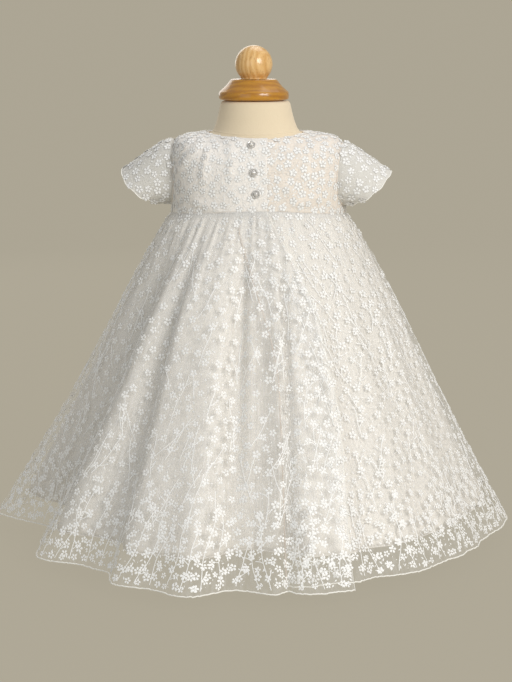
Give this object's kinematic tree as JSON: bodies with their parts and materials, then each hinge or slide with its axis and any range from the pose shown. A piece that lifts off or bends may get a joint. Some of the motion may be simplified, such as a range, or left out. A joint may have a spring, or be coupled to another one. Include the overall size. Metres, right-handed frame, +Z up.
{
  "type": "christening dress on a dress form",
  "caption": "Short-sleeved, high-waisted infant's christening dress of embroidered net over a shorter lining, lapped and buttoned, on a limbless dress form with a wooden cap and ball.",
  "frame": {"origin": "centre of the base's underside, on the floor", "axes": "+Z up, -Y towards the buttoned side of the dress, +X towards the wearer's left, metres"},
  "size_m": [0.5012, 0.5113, 0.4716],
  "materials": {
    "embroidered_net": "soft semi-sheer net",
    "lining": "smooth, faint sheen",
    "form_jersey": "matt stretched jersey",
    "turned_wood": "clear varnish",
    "pearl": "pearly"
  },
  "bodies": {
    "root": {"form_torso": "form_jersey", "neck_cap": "turned_wood", "finial_ball": "turned_wood", "stand_post": "turned_wood", "stand_base": "turned_wood", "bodice_front_right": "embroidered_net", "bodice_front_left": "embroidered_net", "bodice_back": "embroidered_net", "sleeve_right": "embroidered_net", "sleeve_left": "embroidered_net", "skirt_net_front_right": "embroidered_net", "skirt_net_front_left": "embroidered_net", "skirt_net_back": "embroidered_net", "skirt_lining": "lining", "button_1": "pearl", "button_2": "pearl", "button_3": "pearl"}
  },
  "joints": []
}
